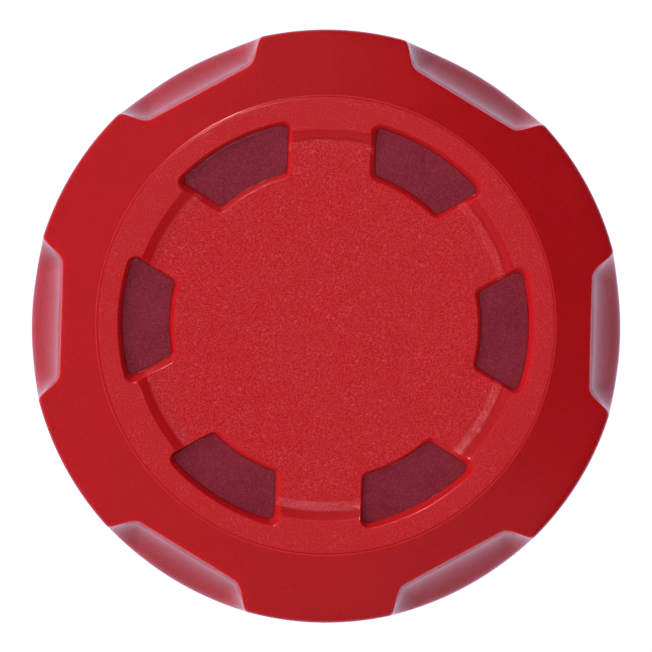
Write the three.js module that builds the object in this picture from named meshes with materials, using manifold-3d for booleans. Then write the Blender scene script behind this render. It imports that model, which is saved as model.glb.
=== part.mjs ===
// The barrel of a rotary rock tumbler, standing on its base with the screw lid on top.
// A hard drum holds a ribbed rubber liner and runs on two rubber tyres. The red lid screws on the drum's neck
// and carries a keyed core, whose six lugs show in the lid's windows, and a rubber plug that seals the mouth.
// Millimetres, +Z up along the barrel's axis, origin at the centre of the face that it stands on.
import * as THREE from "three";
import { mergeVertices } from "three/addons/utils/BufferGeometryUtils.js";
import Module from "manifold-3d";

const wasm = await Module();
wasm.setup();

const TAU = 2 * Math.PI;
const rad = THREE.MathUtils.degToRad;

// Driving dimensions
const COUNT = 6; // scoops, windows, lugs and screws round each end
const PITCH_ANGLE = TAU / COUNT;
const GAP = 0.3; // left between pieces that touch
const ROUND = 40; // sides of a large turned surface
const SMALL = 12; // sides of a screw, stud or hole

const BASE = {
  radius: 54,
  height: 6,
  ringInner: 43, // the standing ring's inner radius
  recess: 2.5, // how far the middle of the underside is raised
  edge: 1.6,
  ribs: 12,
};
const DRUM = {
  bottom: BASE.height + GAP,
  flangeTop: 14,
  radius: 51,
  bore: 46.8,
  shoulderBottom: 97,
  shoulderTop: 103.2,
  neckRadius: 44.6,
  neckBore: 42.2,
  neckTop: 114,
  flutes: 24,
};
const TYRE = { radius: 54, width: 12, depth: 1.4, low: 30, high: 86 };
const LINER = {
  wall: 3.5,
  floor: 4,
  mouth: 39.2,
  lip: 1.6,
  lipRadius: 44.4,
  lifters: 8,
  lifterRadius: 5.5,
  lifterSet: 1.2, // how far a lifter's centre sits outside the liner's inner wall
};
// Heights of the lid are measured down from its top face.
const LID = {
  top: 128,
  height: 24,
  radius: 55,
  bandRadius: 54.9,
  bore: 47.2,
  roof: -3.7, // underside of the top wall
  ringRadius: 42.6, // outer edge of the flat ring
  step: [[36.1, 0], [35.4, -0.5], [34.7, -0.7], [33.2, -0.8]], // the hollow fillet inside the flat ring
  disc: -0.8, // the middle disc lies this far down
  bevel: rad(15),
  rim: 1.4,
};
const SCOOP = { chord: 49, half: 11.2, flare: rad(45), corner: 4, bend: 20.2, steep: rad(80), shallow: rad(45) };
const WINDOW = { inner: 28.1, outer: 38.5, side: 7.35, corner: 1.6 };
const LUG = { inner: 28.9, outer: 37.5, side: 8.2, corner: 1.1, top: -1.6, turn: rad(-0.67), shift: [-0.15, 0.3] };
const THREAD = {
  starts: 2,
  lead: 12,
  crest: 46.4,
  nutCrest: 45.2,
  base: 2.2,
  tip: 1,
  low: 105.3, // where the drum's ridges start, at the angle 0, as a height above the base
  high: 112.3,
  nutLow: 106.1,
  nutHigh: 112,
  under: 1.75, // the lid's ridges lie this far under the drum's
  runOut: rad(16),
};
const CORE = { radius: 43.5, top: -4, bottom: -6.6, rimInner: 40.4, rimBottom: -8.1, pocket: 7.6 };
const SCREW = { circle: 35, head: 4.6, headHeight: 1.6, shank: 1.3, bottom: -8.3, tip: -2.3 };
const BOSS = { radius: 3.2, hole: 3.6, bottom: -6.5, pilot: 1.6, pilotTop: -2.1 };
const STUD = { shank: 3, head: 8, headHeight: 1.5, top: -4.1 };
const PLUG = {
  radius: 38,
  bottom: -21,
  flange: 43.9,
  seat: -11.8,
  flangeTop: -9.5,
  lipInner: 27.3,
  lipOuter: 29.5,
  hook: 25.8,
  lipTop: -7.3,
  grooveFloor: 36.2,
  grooveBottom: -18.8,
  grooveTop: -15.6,
};
const RING = { radius: 37.75, section: 1.25 };
const BASE_SCREW = { circle: 50.4, head: 2.7, headHeight: 1.7, headBottom: 0.4, shank: 1.3, tip: 12.6 };

// Materials
const plastic = (color, roughness) => new THREE.MeshStandardMaterial({ color, roughness, metalness: 0 });
const RED = plastic(0xb8282f, 0.45);
const PLUM = plastic(0x7c2a38, 0.55);
const RUBBER = plastic(0x1c1b1c, 0.8);
const LINER_RUBBER = plastic(0x2e2c2d, 0.75);
const ACETAL = plastic(0xe8e4da, 0.4);
const STEEL = new THREE.MeshStandardMaterial({ color: 0xb9bcc0, roughness: 0.3, metalness: 1 });

// A geometry's closed surface as a manifold-3d solid.
function solid(geometry) {
  const bare = new THREE.BufferGeometry().setAttribute("position", geometry.getAttribute("position"));
  if (geometry.index) bare.setIndex(geometry.index);
  const merged = mergeVertices(bare, 1e-4);
  return new wasm.Manifold(
    new wasm.Mesh({
      numProp: 3,
      vertProperties: merged.attributes.position.array,
      triVerts: new Uint32Array(merged.index.array),
    }),
  );
}

function geometryOf(made) {
  const { vertProperties, triVerts } = made.getMesh();
  return new THREE.BufferGeometry()
    .setAttribute("position", new THREE.BufferAttribute(vertProperties, 3))
    .setIndex(new THREE.BufferAttribute(triVerts, 1));
}

function join(...geometries) {
  return geometryOf(geometries.map(solid).reduce((a, b) => a.add(b)));
}

function cut(geometry, ...tools) {
  return geometryOf(tools.map(solid).reduce((a, b) => a.subtract(b), solid(geometry)));
}

function build(vertices, triangles) {
  return new THREE.BufferGeometry()
    .setAttribute("position", new THREE.Float32BufferAttribute(vertices, 3))
    .setIndex(triangles);
}

// A body turned round +Z from a profile of [radius, height], walked with the material on its left.
function turned(profile, sides = ROUND) {
  const points = profile.map(([r, z]) => new THREE.Vector2(r, z));
  return new THREE.LatheGeometry(points, sides).rotateX(Math.PI / 2);
}

// A turned body with a hole along its axis: its profile closes on itself.
function turnedRing(profile, sides = ROUND) {
  return turned([...profile, profile[0]], sides);
}

// A flat ring or washer.
function washer(inner, outer, bottom, top, sides = ROUND) {
  return turnedRing([[inner, bottom], [outer, bottom], [outer, top], [inner, top]], sides);
}

function rod(radius, bottom, top, x = 0, y = 0, sides = SMALL) {
  return turned([[0, bottom], [radius, bottom], [radius, top], [0, top]], sides).translate(x, y, 0);
}

function arc(x, y, radius, from, to, steps) {
  return Array.from({ length: steps + 1 }, (_, i) => {
    const angle = from + ((to - from) * i) / steps;
    return new THREE.Vector2(x + radius * Math.cos(angle), y + radius * Math.sin(angle));
  });
}

// A closed body through anticlockwise outlines of equally many points, at rising heights.
function loft(levels) {
  const count = levels[0].outline.length;
  const last = (levels.length - 1) * count;
  const vertices = levels.flatMap(({ z, outline }) => outline.flatMap((p) => [p.x, p.y, z]));
  const triangles = [];
  for (let start = 0; start < last; start += count) {
    for (let i = 0; i < count; i++) {
      const a = start + i;
      const b = start + ((i + 1) % count);
      triangles.push(a, b, b + count, a, b + count, a + count);
    }
  }
  for (const [a, b, c] of THREE.ShapeUtils.triangulateShape(levels[0].outline, [])) triangles.push(c, b, a);
  for (const [a, b, c] of THREE.ShapeUtils.triangulateShape(levels.at(-1).outline, [])) {
    triangles.push(last + a, last + b, last + c);
  }
  return build(vertices, triangles);
}

function prism(outline, bottom, top) {
  return loft([{ z: bottom, outline }, { z: top, outline }]);
}

// Copies of a shape turned round +Z, with the first at the given angle.
function around(shape, count = COUNT, first = 0) {
  return Array.from({ length: count }, (_, i) => shape.clone().rotateZ(first + (i * TAU) / count));
}

// A stretch of a ring, seen from above, centred on +X.
function sector(inner, outer, halfAngle, steps = 2) {
  return [...arc(0, 0, outer, -halfAngle, halfAngle, steps), ...arc(0, 0, inner, halfAngle, -halfAngle, steps)];
}

// The outline of a window or lug, centred on +X: part of a ring whose sides run parallel to the radial lines
// halfway to the next window, with rounded corners.
function windowOutline({ inner, outer, side, corner }) {
  const half = PITCH_ANGLE / 2;
  const along = new THREE.Vector2(Math.cos(half), Math.sin(half));
  const across = new THREE.Vector2(-Math.sin(half), Math.cos(half));
  const offset = side + corner;
  const centre = (radius) =>
    along.clone().multiplyScalar(Math.sqrt(radius ** 2 - offset ** 2)).addScaledVector(across, -offset);
  const outerCentre = centre(outer - corner);
  const innerCentre = centre(inner + corner);
  const outerAngle = outerCentre.angle();
  const innerAngle = innerCentre.angle();
  const steps = 3;
  const upper = [
    ...arc(0, 0, outer, 0, outerAngle, steps),
    ...arc(outerCentre.x, outerCentre.y, corner, outerAngle, half + TAU / 4, steps).slice(1),
    ...arc(innerCentre.x, innerCentre.y, corner, half + TAU / 4, innerAngle + TAU / 2, steps),
    ...arc(0, 0, inner, innerAngle, 0, steps).slice(1),
  ];
  const lower = upper.slice(1, -1).reverse().map((p) => new THREE.Vector2(p.x, -p.y));
  return [...upper, ...lower];
}

// The lug's outline grown by a margin, where the floating core has settled in its windows.
function settledOutline(margin, window) {
  const grown = {
    inner: LUG.inner - margin,
    outer: LUG.outer + margin,
    side: LUG.side - margin,
    corner: LUG.corner,
  };
  const back = new THREE.Vector2(...LUG.shift).rotateAround(new THREE.Vector2(), -window);
  return windowOutline(grown).map((p) => p.rotateAround(new THREE.Vector2(), LUG.turn).add(back));
}

// A thread's ridges on a wall of the given radius, one for each start, which run out at both ends. Their crests
// are at the radius crest, and the first ridge's middle line would pass the angle 0 at the height datum.
function threadRidges({ wall, crest, bottom, top, datum }) {
  const { starts, lead, base, tip, runOut } = THREAD;
  const turn = ((top - bottom) / lead) * TAU;
  const first = ((bottom - datum) / lead) * TAU;
  const steps = Math.ceil(turn / rad(9));
  const vertices = [];
  const triangles = [];
  for (let i = 0; i <= steps; i++) {
    const angle = (turn * i) / steps;
    const fade = Math.min(1, angle / runOut, (turn - angle) / runOut);
    const reach = wall + (crest - wall) * (0.1 + 0.9 * fade);
    const z = bottom + (lead * angle) / TAU;
    const outside = [
      [wall, z - base / 2],
      [reach, z - tip / 2],
      [reach, z + tip / 2],
      [wall, z + base / 2],
    ];
    const section = crest > wall ? outside : outside.toReversed();
    for (const [r, height] of section) {
      vertices.push(r * Math.cos(first + angle), r * Math.sin(first + angle), height);
    }
  }
  for (let i = 0; i < steps; i++) {
    for (let k = 0; k < 4; k++) {
      const a = 4 * i + k;
      const b = 4 * i + ((k + 1) % 4);
      triangles.push(a, a + 4, b + 4, a, b + 4, b);
    }
  }
  const end = 4 * steps;
  triangles.push(0, 1, 2, 0, 2, 3, end, end + 2, end + 1, end, end + 3, end + 2);
  return around(build(vertices, triangles), starts);
}

// The lid's shell: its top is a disc, a fillet up to a flat ring, and a bevel down to a rounded rim.
function lidProfile() {
  const { height, radius, bandRadius, bore, roof, ringRadius, step, disc, bevel, rim } = LID;
  const rimCentre = radius - rim;
  const rimHeight = -(rim + (rimCentre - ringRadius) * Math.sin(bevel)) / Math.cos(bevel);
  const edge = arc(rimCentre, rimHeight, rim, 0, TAU / 4 - bevel, 3).map((p) => [p.x, p.y]);
  return [
    [0, roof],
    [bore - 1, roof],
    [bore, roof - 1],
    [bore, -height + 0.8],
    [bore + 0.8, -height],
    [bandRadius - 0.8, -height],
    [bandRadius, -height + 0.8],
    ...edge,
    [ringRadius, 0],
    ...step,
    [0, disc],
  ];
}

// A scoop's outline once its wall has moved out by the given distance: a chord with flared ends.
function scoopOutline(out) {
  const { chord, half, flare, corner } = SCOOP;
  const reach = 20;
  const slant = (1 - Math.sin(flare)) / Math.cos(flare);
  const x = chord + out + corner;
  const y = half - (out + corner) * slant;
  const upper = arc(x, y, corner, TAU / 4 + flare, TAU / 2, 3);
  const end = upper[0].clone().add(new THREE.Vector2(reach * Math.cos(flare), reach * Math.sin(flare)));
  const left = [end, ...upper];
  const right = left.toReversed().map((p) => new THREE.Vector2(p.x, -p.y));
  return [...left, ...right];
}

// What a scoop takes away: its wall is steep at the top and bends outwards until it meets the band below.
function scoopCutter() {
  const { chord, bend, steep, shallow } = SCOOP;
  const steps = 4;
  const topHeight = -(chord - LID.ringRadius) * Math.tan(LID.bevel);
  const levels = Array.from({ length: steps + 1 }, (_, i) => {
    const slope = shallow + ((steep - shallow) * i) / steps;
    return {
      z: topHeight - bend * (Math.cos(slope) - Math.cos(steep)),
      out: bend * (Math.sin(steep) - Math.sin(slope)),
    };
  });
  const drop = 1;
  levels.unshift({ z: levels[0].z - drop, out: levels[0].out + drop / Math.tan(shallow) });
  const rise = 2 - topHeight;
  levels.push({ z: topHeight + rise, out: -rise / Math.tan(steep) });
  return loft(levels.map(({ z, out }) => ({ z, outline: scoopOutline(out) })));
}

function windowCutter(angle) {
  const settled = settledOutline(GAP, angle);
  return loft([
    { z: LID.roof - 1, outline: settled },
    { z: LUG.top - 0.2, outline: settled },
    { z: 0.01, outline: windowOutline(WINDOW) },
    { z: 1, outline: windowOutline(WINDOW) },
  ]).rotateZ(angle);
}

// Pockets moulded up into the skirt from below, which leave thin walls and ribs.
function skirtPockets() {
  const perScoop = 6;
  const tops = [-14.5, -14.5, -11.5, -7, -11.5, -14.5]; // lower under a scoop than under a ridge
  return tops.flatMap((top, i) => {
    const pocket = prism(sector(49.2, 52.8, rad(4.2)), -LID.height - 1, top);
    return around(pocket, COUNT, (i * PITCH_ANGLE) / perScoop);
  });
}

function lidShell() {
  const bosses = around(rod(BOSS.radius, BOSS.bottom, LID.roof + 0.5, SCREW.circle), COUNT, PITCH_ANGLE / 2);
  const pilots = around(rod(BOSS.pilot, BOSS.bottom - 1, BOSS.pilotTop, SCREW.circle), COUNT, PITCH_ANGLE / 2);
  const thread = threadRidges({
    wall: LID.bore + 0.3,
    crest: THREAD.nutCrest,
    bottom: THREAD.nutLow - LID.top,
    top: THREAD.nutHigh - LID.top,
    datum: THREAD.low - THREAD.under - LID.top,
  });
  const windows = Array.from({ length: COUNT }, (_, i) => windowCutter(i * PITCH_ANGLE));
  return cut(
    join(turned(lidProfile(), 72), ...bosses, ...thread),
    ...around(scoopCutter()),
    ...windows,
    ...pilots,
    ...skirtPockets(),
  );
}

// The keyed plate under the lid: its lugs stand in the windows, and its rim presses the plug down.
function lidCore() {
  const { radius, top, bottom, rimInner, rimBottom, pocket } = CORE;
  const plate = turnedRing([
    [STUD.shank + 0.4, bottom],
    [rimInner, bottom],
    [rimInner, rimBottom],
    [radius, rimBottom],
    [radius, top],
    [pocket, top],
    [pocket, top - 1.6],
    [STUD.shank + 0.4, top - 1.6],
  ]);
  const lugs = Array.from({ length: COUNT }, (_, i) => {
    const angle = i * PITCH_ANGLE;
    return prism(settledOutline(0, angle), top - 0.5, LUG.top).rotateZ(angle);
  });
  const holes = around(rod(BOSS.hole, bottom - 1, top + 1, SCREW.circle), COUNT, PITCH_ANGLE / 2);
  return cut(join(plate, ...lugs), ...holes);
}

// A pan-head screw whose head hangs below its shank, with a cross recess.
function screw({ head, headHeight, shank, length }) {
  const body = turned([
    [0, -headHeight],
    [head * 0.72, -headHeight],
    [head, -headHeight * 0.45],
    [head, 0],
    [shank, 0],
    [shank, length - shank],
    [0, length],
  ], SMALL);
  const width = head * 0.16;
  const depth = -headHeight * 0.45;
  const bar = (x, y) => [[-x, -y], [x, -y], [x, y], [-x, y]].map((p) => new THREE.Vector2(...p));
  const slots = [bar(head * 0.5, width), bar(width, head * 0.5)];
  return cut(body, ...slots.map((slot) => prism(slot, -headHeight - 1, depth)));
}

function sealPlug() {
  const p = PLUG;
  return turned([
    [0, p.bottom + 5],
    [p.radius - 6, p.bottom + 5],
    [p.radius - 4.5, p.bottom],
    [p.radius - 0.8, p.bottom],
    [p.radius, p.bottom + 0.8],
    [p.radius, p.grooveBottom],
    [p.grooveFloor, p.grooveBottom],
    [p.grooveFloor, p.grooveTop],
    [p.radius, p.grooveTop],
    [p.radius, p.seat],
    [p.flange, p.seat],
    [p.flange, p.flangeTop],
    [p.lipOuter, p.flangeTop],
    [p.lipOuter, p.lipTop],
    [p.hook, p.lipTop],
    [p.hook, p.lipTop - 0.4],
    [p.lipInner, p.lipTop - 0.4],
    [p.lipInner, p.flangeTop],
    [STUD.head + 0.6, p.flangeTop],
    [STUD.head + 0.6, p.flangeTop - STUD.headHeight - GAP],
    [0, p.flangeTop - STUD.headHeight - GAP],
  ]);
}

function swivelStud() {
  const top = PLUG.flangeTop;
  return turned([
    [0, top - STUD.headHeight],
    [STUD.head, top - STUD.headHeight],
    [STUD.head, top],
    [STUD.shank, top],
    [STUD.shank, STUD.top - 0.5],
    [STUD.shank - 0.5, STUD.top],
    [0, STUD.top],
  ], 32);
}

// The spring clip on the stud: a ring with slots that leave it six teeth.
function swivelClip() {
  const bottom = CORE.top - 1.3;
  const slot = prism(sector(1, 5.2, rad(7)), bottom - 1, bottom + 2);
  return cut(washer(STUD.shank + GAP, 6.9, bottom, bottom + 1, 36), ...around(slot));
}

function plugRing() {
  const section = arc(RING.radius, 0, RING.section, 0, TAU, 8).slice(0, -1).map((p) => [p.x, p.y]);
  return turnedRing(section).translate(0, 0, (PLUG.grooveBottom + PLUG.grooveTop) / 2);
}

// The drum: a flange at the base, grooves for the tyres, a fluted grip between them, a shoulder and a neck.
function drumShell() {
  const { bottom, flangeTop, radius, bore, shoulderBottom, shoulderTop, neckRadius, neckBore, neckTop } = DRUM;
  const groove = (middle) => {
    const [low, high] = [middle - TYRE.width / 2, middle + TYRE.width / 2];
    return [[radius, low], [radius - TYRE.depth, low], [radius - TYRE.depth, high], [radius, high]];
  };
  const rise = shoulderTop - shoulderBottom;
  const shoulder = arc(radius - rise, shoulderBottom, rise, 0, TAU / 4, 4).map((p) => [p.x, p.y]);
  const profile = [
    [bore, bottom],
    [BASE.radius, bottom],
    [BASE.radius, flangeTop - 1],
    [BASE.radius - 1, flangeTop],
    [radius, flangeTop + 1],
    ...groove(TYRE.low),
    ...groove(TYRE.high),
    ...shoulder,
    [neckRadius, shoulderTop],
    [neckRadius, neckTop - 0.6],
    [neckRadius - 0.6, neckTop],
    [neckBore, neckTop],
    [neckBore, shoulderTop - 1],
    [bore, shoulderBottom - 1],
  ];
  const thread = threadRidges({
    wall: neckRadius - 0.3,
    crest: THREAD.crest,
    bottom: THREAD.low,
    top: THREAD.high,
    datum: THREAD.low,
  });
  const fluteLow = TYRE.low + TYRE.width / 2 + 5;
  const fluteHigh = TYRE.high - TYRE.width / 2 - 5;
  const flute = rod(3.2, fluteLow, fluteHigh, radius + 2, 0, 10);
  const pilots = around(rod(BASE_SCREW.shank + 0.35, bottom - 1, BASE_SCREW.tip + 0.4, BASE_SCREW.circle));
  return cut(join(turnedRing(profile), ...thread), ...around(flute, DRUM.flutes), ...pilots);
}

function tyre() {
  const inner = DRUM.radius - TYRE.depth + GAP;
  const half = TYRE.width / 2 - GAP;
  const tread = [-0.3, 0.3].flatMap((share) => {
    const z = share * half;
    return [[TYRE.radius, z - 0.7], [TYRE.radius - 0.8, z - 0.35], [TYRE.radius - 0.8, z + 0.35], [TYRE.radius, z + 0.7]];
  });
  return turnedRing([
    [inner, -half],
    [TYRE.radius - 1, -half],
    [TYRE.radius, -half + 1],
    ...tread,
    [TYRE.radius, half - 1],
    [TYRE.radius - 1, half],
    [inner, half],
  ]);
}

// The rubber liner: a cup with lifting ribs, and a lip that lies on the neck's end.
function drumLiner() {
  const { wall, floor, mouth, lip, lipRadius, lifters, lifterRadius, lifterSet } = LINER;
  const { bottom, bore, shoulderBottom, shoulderTop, neckBore, neckTop } = DRUM;
  const outer = bore - GAP;
  const inner = outer - wall;
  const neck = neckBore - GAP;
  const cup = turned([
    [0, bottom],
    [outer - 1.5, bottom],
    [outer, bottom + 1.5],
    [outer, shoulderBottom - 1.2],
    [neck, shoulderTop - 1.2],
    [neck, neckTop + GAP],
    [lipRadius, neckTop + GAP],
    [lipRadius, neckTop + GAP + lip],
    [mouth, neckTop + GAP + lip],
    [mouth, shoulderTop - 1.6],
    [inner, shoulderBottom - 2.5],
    [inner, bottom + floor + 1.8],
    [inner - 1.8, bottom + floor],
    [0, bottom + floor],
  ]);
  const rib = rod(lifterRadius, bottom + floor - 1, shoulderBottom - 3, inner + lifterSet, 0, 16);
  const keep = washer(1, outer - 1, bottom, shoulderTop);
  const ribs = around(rib, lifters).map((each) => geometryOf(solid(each).intersect(solid(keep))));
  return join(cup, ...ribs);
}

// The base cap: a disc that closes the drum's end, with a standing ring and stiffening ribs below.
function baseCap() {
  const { radius, height, ringInner, recess, edge, ribs } = BASE;
  const hub = 12;
  const disc = turned([
    [0, recess],
    [ringInner - 1, recess],
    [ringInner, 0],
    [radius - edge, 0],
    [radius, edge],
    [radius, height],
    [0, height],
  ]);
  const hubRing = washer(hub - 2, hub, 0.8, recess + 0.5, 32);
  const rib = prism(
    [[hub - 1, -0.8], [ringInner, -0.8], [ringInner, 0.8], [hub - 1, 0.8]].map((p) => new THREE.Vector2(...p)),
    0.8,
    recess + 0.5,
  );
  const { circle, head, headBottom, headHeight, shank } = BASE_SCREW;
  const sinks = around(rod(head + GAP, -1, headBottom + headHeight + GAP, circle));
  const holes = around(rod(shank + 0.35, -1, height + 1, circle));
  const socket = rod(4.3, -1, height - 1, 0, 0, 32);
  return cut(join(disc, hubRing, ...around(rib, ribs)), ...sinks, ...holes, socket);
}

// The button that takes the barrel's end thrust against the machine's stop.
function thrustButton() {
  return turned([[0, 0.4], [3, 0.4], [5.6, 1], [7, 2.2], [4, 2.2], [4, 4.6], [0, 4.6]], 32);
}

// Assembly
const barrel = new THREE.Group();
const drum = new THREE.Group();
const seal = new THREE.Group();
const lid = new THREE.Group();
seal.position.z = LID.top;
lid.position.z = LID.top;
barrel.add(drum, seal, lid);

function add(group, name, geometry, material, x = 0, y = 0, z = 0) {
  const mesh = new THREE.Mesh(geometry, material);
  mesh.name = name;
  mesh.position.set(x, y, z);
  group.add(mesh);
}

function addScrews(group, name, shape, circle, z, first) {
  for (let i = 0; i < COUNT; i++) {
    const angle = first + i * PITCH_ANGLE;
    add(group, `${name}_${i + 1}`, shape, STEEL, circle * Math.cos(angle), circle * Math.sin(angle), z);
  }
}

add(drum, "drum_shell", drumShell(), PLUM);
add(drum, "drum_liner", drumLiner(), LINER_RUBBER);
add(drum, "base_cap", baseCap(), RED);
add(drum, "rear_tyre", tyre(), RUBBER, 0, 0, TYRE.low);
add(drum, "front_tyre", tyre(), RUBBER, 0, 0, TYRE.high);
add(drum, "thrust_button", thrustButton(), ACETAL);
const baseScrewSeat = BASE_SCREW.headBottom + BASE_SCREW.headHeight;
addScrews(
  drum,
  "base_screw",
  screw({ ...BASE_SCREW, length: BASE_SCREW.tip - baseScrewSeat }),
  BASE_SCREW.circle,
  baseScrewSeat,
  0,
);

const plateBottom = PLUG.flangeTop + GAP;
add(seal, "seal_plug", sealPlug(), LINER_RUBBER);
add(seal, "plug_ring", plugRing(), RUBBER);
add(seal, "pressure_plate", washer(STUD.shank + 0.4, PLUG.lipInner - GAP, plateBottom, plateBottom + 1.2), STEEL);
add(seal, "slip_washer", washer(STUD.shank + 0.4, 24, CORE.bottom - 1.1, CORE.bottom - GAP, 48), ACETAL);
add(seal, "slip_ring", washer(CORE.rimInner - 0.1, CORE.radius - 0.1, PLUG.flangeTop + GAP, CORE.rimBottom - GAP), ACETAL);
add(seal, "swivel_stud", swivelStud(), STEEL);
add(seal, "swivel_clip", swivelClip(), STEEL);

add(lid, "lid_shell", lidShell(), RED);
add(lid, "lid_core", lidCore(), PLUM);
const screwSeat = SCREW.bottom + SCREW.headHeight;
addScrews(
  lid,
  "core_screw",
  screw({ ...SCREW, length: SCREW.tip - screwSeat }),
  SCREW.circle,
  screwSeat - 0.2,
  PITCH_ANGLE / 2,
);

export default barrel;
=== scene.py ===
"""A rock tumbler's barrel, standing on its base with the red screw lid on top, seen from straight above.

Shapes are made in millimetres. Those of the lid and its core are measured from the lid's top face.
"""

import math

import bmesh
import bpy
import numpy as np
from mathutils import Matrix, Vector, geometry


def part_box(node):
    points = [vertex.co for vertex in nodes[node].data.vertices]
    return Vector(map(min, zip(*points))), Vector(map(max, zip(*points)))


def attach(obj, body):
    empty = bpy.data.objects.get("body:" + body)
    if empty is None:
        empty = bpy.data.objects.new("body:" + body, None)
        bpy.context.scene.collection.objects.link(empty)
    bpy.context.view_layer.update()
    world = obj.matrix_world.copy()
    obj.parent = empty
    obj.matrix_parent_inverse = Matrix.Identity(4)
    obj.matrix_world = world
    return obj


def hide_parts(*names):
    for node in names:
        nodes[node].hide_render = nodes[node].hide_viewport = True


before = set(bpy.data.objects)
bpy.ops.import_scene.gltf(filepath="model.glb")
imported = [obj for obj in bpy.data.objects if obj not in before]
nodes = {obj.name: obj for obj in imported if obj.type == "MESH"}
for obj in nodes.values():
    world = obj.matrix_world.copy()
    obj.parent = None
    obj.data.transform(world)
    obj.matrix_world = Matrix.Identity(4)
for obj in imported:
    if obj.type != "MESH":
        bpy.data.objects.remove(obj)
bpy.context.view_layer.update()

MM = 0.001
TAU = 2 * math.pi
COUNT = 6
PITCH = TAU / COUNT
GAP = 0.3  # clearance between pieces that fit into each other
SHARP_EDGE = math.radians(35)
LID_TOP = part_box("lid_shell")[1].z / MM

# The lid. The sizes are the CAD's, but the tops of the scoops are a little steeper.
LID = dict(height=24, radius=55, band=54.9, bore=47.2, roof=-3.7, ring=42.5, disc=-0.8)
BEVEL = math.radians(15)
SCOOP = dict(
    chord=49,
    half=11.2,
    flare=math.radians(45),
    bend=20.2,
    steep=math.radians(84),
    shallow=math.radians(45),
)
POCKET = dict(inner=49.2, outer=52.8, half=math.radians(4.2), tops=(-14.5, -14.5, -11.5, -7, -11.5, -14.5))
WINDOW = dict(inner=28.1, outer=38.5, side=7.35, corner=1.6)
LUG = dict(inner=28.9, outer=37.5, side=8.2, corner=1.1)
LUG_TOP = -1.6
LUG_TURN = math.radians(-0.67)
LUG_SHIFT = (-0.15, 0.3)
CORE = dict(radius=43.5, top=-4, bottom=-6.6, rim_inner=40.4, rim_bottom=-8.1, pocket=7.6, bore=3.4)
CORE_HOLE = dict(circle=35, radius=3.6)

# The drum
DRUM = dict(
    bottom=6.3,
    flange_top=14,
    flange=54,
    radius=51,
    bore=46.8,
    shoulder_bottom=97,
    shoulder_top=103.2,
)
FLUTE = dict(count=24, radius=3.2, set_out=2, clear=5, blend=0.25)
NECK = dict(radius=44.6, bore=42.2, top=114)
TYRE = dict(radius=54, width=12, depth=1.4, low=30, high=86)
TREAD = dict(wide=0.75, narrow=0.35, depth=0.8, spread=0.3)
THREAD = dict(starts=2, lead=12, crest=46.4, nut_crest=45.2, base=2.2, tip=1, low=105.3, high=112.3)
NUT = dict(low=106.1, high=112, under=1.75)
BASE = dict(radius=54, height=6, ring_inner=43, recess=2.5, edge=1.6, ribs=12, hub=12, foot=0.8)
BASE_SINK = dict(circle=50.4, radius=3, top=2.4, chamfer=0.3, hole=1.65)
BASE_RIB_HALF = 0.8
BUTTON_HOLE = 4.3
LINER = dict(wall=3.5, floor=4, mouth=39.2, lip=1.6, lip_radius=44.4, lifters=8, lifter=5.5, lifter_set=1.2)


# Outlines and profiles

def smooth_min(a, b, k):
    """The smaller of two numbers, rounded off where they are within k of each other."""
    h = max(k - abs(a - b), 0.0) / k
    return min(a, b) - h * h * k / 4


def smooth_max(a, b, k):
    return -smooth_min(-a, -b, k)


def smooth_step(x, low, high):
    t = min(1.0, max(0.0, (x - low) / (high - low)))
    return t * t * (3 - 2 * t)


def arc(x, y, radius, start, end, steps):
    angles = [start + (end - start) * i / steps for i in range(steps + 1)]
    return [(x + radius * math.cos(a), y + radius * math.sin(a)) for a in angles]


def curve(start, corner, end, steps):
    """Points of a smooth bend from start to end that stays inside the corner."""
    points = []
    for i in range(steps + 1):
        t = i / steps
        a, b, c = (1 - t) ** 2, 2 * t * (1 - t), t * t
        points.append(tuple(a * p + b * q + c * r for p, q, r in zip(start, corner, end)))
    return points


def rounded(profile, radius=0.3, closed=False, steps=4):
    """A profile of (r, z) or (r, z, own radius) with its corners rounded."""
    points = [Vector(p[:2]) for p in profile]
    radii = [p[2] if len(p) > 2 else radius for p in profile]
    made = []
    for i, (point, reach) in enumerate(zip(points, radii)):
        at_end = not closed and i in (0, len(points) - 1)
        before = points[i - 1] - point
        after = points[(i + 1) % len(points)] - point
        if at_end or reach == 0 or before.length < 1e-6 or after.length < 1e-6:
            made.append(tuple(point))
            continue
        turn = math.pi - before.angle(after)
        length = min(reach * math.tan(turn / 2), 0.45 * before.length, 0.45 * after.length)
        start = point + before.normalized() * length
        end = point + after.normalized() * length
        made.extend(curve(tuple(start), tuple(point), tuple(end), steps))
    return made


def spaced(low, high, steps):
    return [low + (high - low) * i / steps for i in range(steps + 1)]


def even_angles(count):
    return [TAU * i / count for i in range(count)]


def window_outline(inner, outer, side, corner):
    """Part of a ring centred on +X. Its sides run parallel to the radial lines halfway to the next window."""
    half = PITCH / 2
    offset = side + corner

    def centre(radius):
        along = math.sqrt(radius**2 - offset**2)
        return (
            along * math.cos(half) + offset * math.sin(half),
            along * math.sin(half) - offset * math.cos(half),
        )

    outer_centre = centre(outer - corner)
    inner_centre = centre(inner + corner)
    outer_angle = math.atan2(outer_centre[1], outer_centre[0])
    inner_angle = math.atan2(inner_centre[1], inner_centre[0])
    square = half + TAU / 4
    outside = arc(0, 0, outer, 0, outer_angle, 14)
    corner_out = arc(*outer_centre, corner, outer_angle, square, 9)
    corner_in = arc(*inner_centre, corner, square, inner_angle + TAU / 2, 9)
    inside = arc(0, 0, inner, inner_angle, 0, 10)
    straight = [
        tuple(a + (b - a) * t for a, b in zip(corner_out[-1], corner_in[0])) for t in spaced(0, 1, 14)[1:-1]
    ]
    upper = outside + corner_out[1:] + straight + corner_in + inside[1:]
    lower = [(x, -y) for x, y in reversed(upper[1:-1])]
    return upper + lower


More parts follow.
